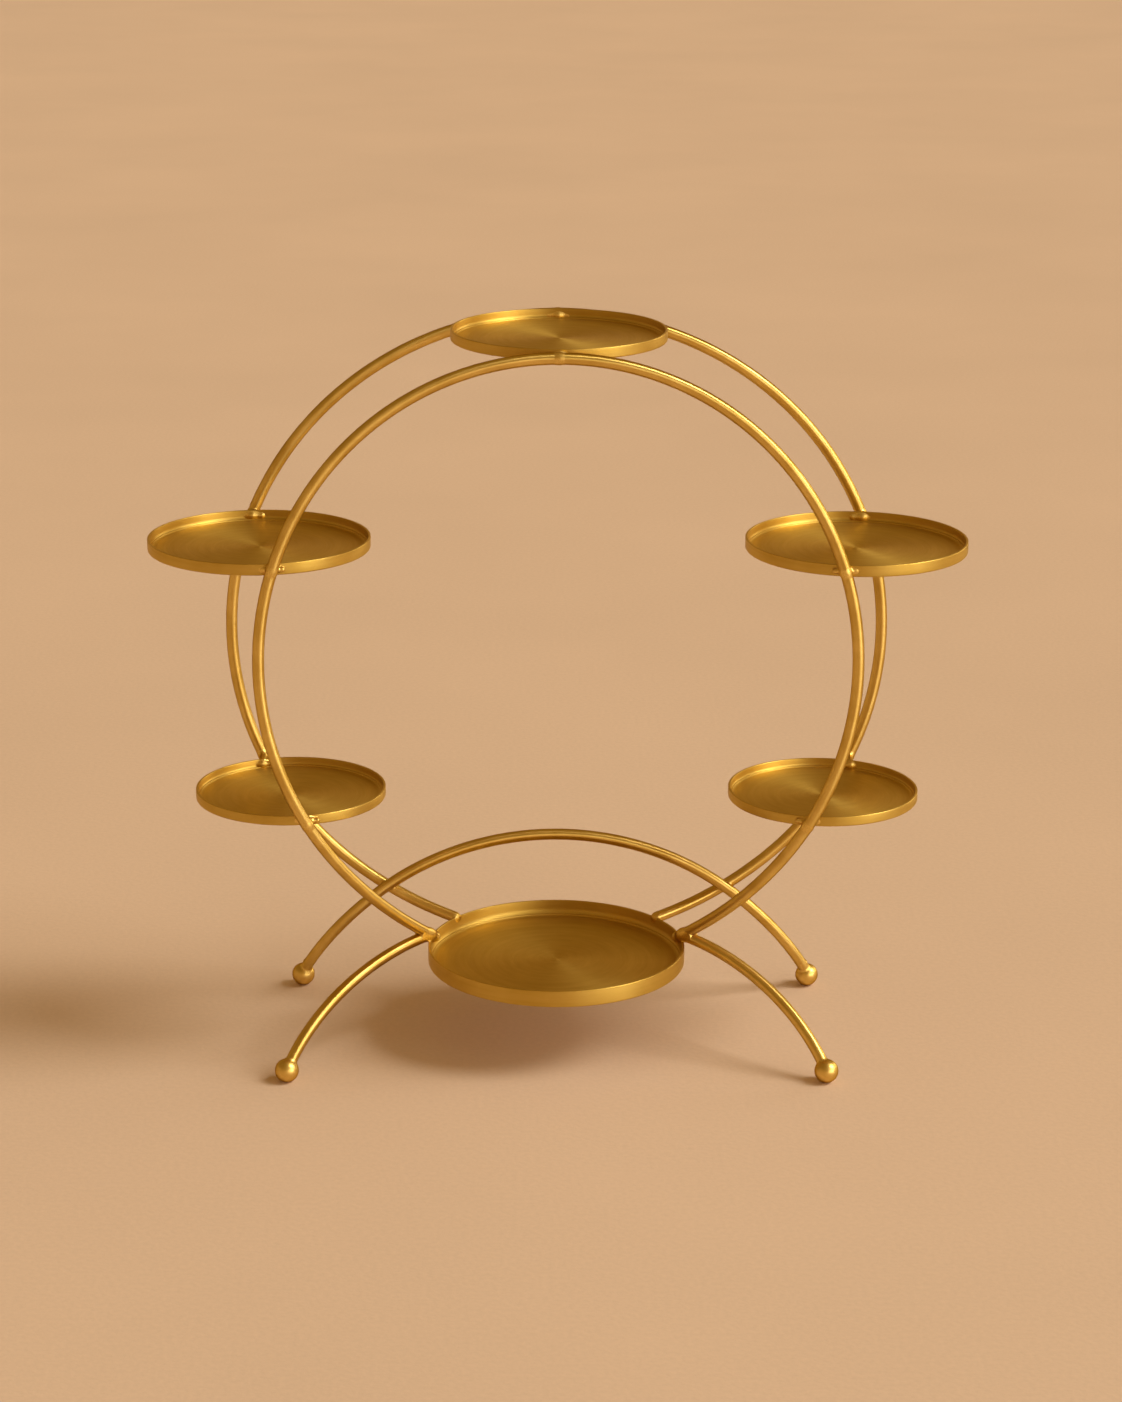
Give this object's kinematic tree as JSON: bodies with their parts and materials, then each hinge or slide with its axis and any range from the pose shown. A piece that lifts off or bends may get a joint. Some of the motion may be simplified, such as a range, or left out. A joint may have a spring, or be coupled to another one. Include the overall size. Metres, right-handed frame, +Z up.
{
  "type": "tiered cake stand",
  "caption": "Free-standing wire display stand: two bent-rod hoops hold small round rimmed trays around a larger base tray, on splayed legs with ball feet.",
  "frame": {"origin": "on the floor, midway between the ball feet, at the bottom centre of the bounding box", "axes": "+Z up, +X to the viewer's right across the stand, +Y from the front towards the back"},
  "size_m": [0.56, 0.1976, 0.5077],
  "materials": {
    "rod_metal": "satin gold plating on bent steel rod",
    "tray_metal": "satin gold plating over spun and brushed sheet steel",
    "ball_metal": "satin gold plating on steel balls"
  },
  "bodies": {
    "root": {"front_hoop": "rod_metal", "back_hoop": "rod_metal", "rear_arch": "rod_metal", "front_left_leg": "rod_metal", "front_right_leg": "rod_metal", "top_tray": "tray_metal", "upper_left_tray": "tray_metal", "upper_right_tray": "tray_metal", "lower_left_tray": "tray_metal", "lower_right_tray": "tray_metal", "base_tray": "tray_metal", "top_tray_front_pin": "rod_metal", "top_tray_back_pin": "rod_metal", "upper_left_tray_front_pin": "rod_metal", "upper_left_tray_back_pin": "rod_metal", "upper_right_tray_front_pin": "rod_metal", "upper_right_tray_back_pin": "rod_metal", "lower_left_tray_front_pin": "rod_metal", "lower_left_tray_back_pin": "rod_metal", "lower_right_tray_front_pin": "rod_metal", "lower_right_tray_back_pin": "rod_metal", "front_left_foot": "ball_metal", "front_right_foot": "ball_metal", "rear_left_foot": "ball_metal", "rear_right_foot": "ball_metal", "base_front_left_weld": "rod_metal", "base_front_right_weld": "rod_metal", "base_back_left_weld": "rod_metal", "base_back_right_weld": "rod_metal", "rear_left_weld": "rod_metal", "rear_right_weld": "rod_metal"}
  },
  "joints": []
}
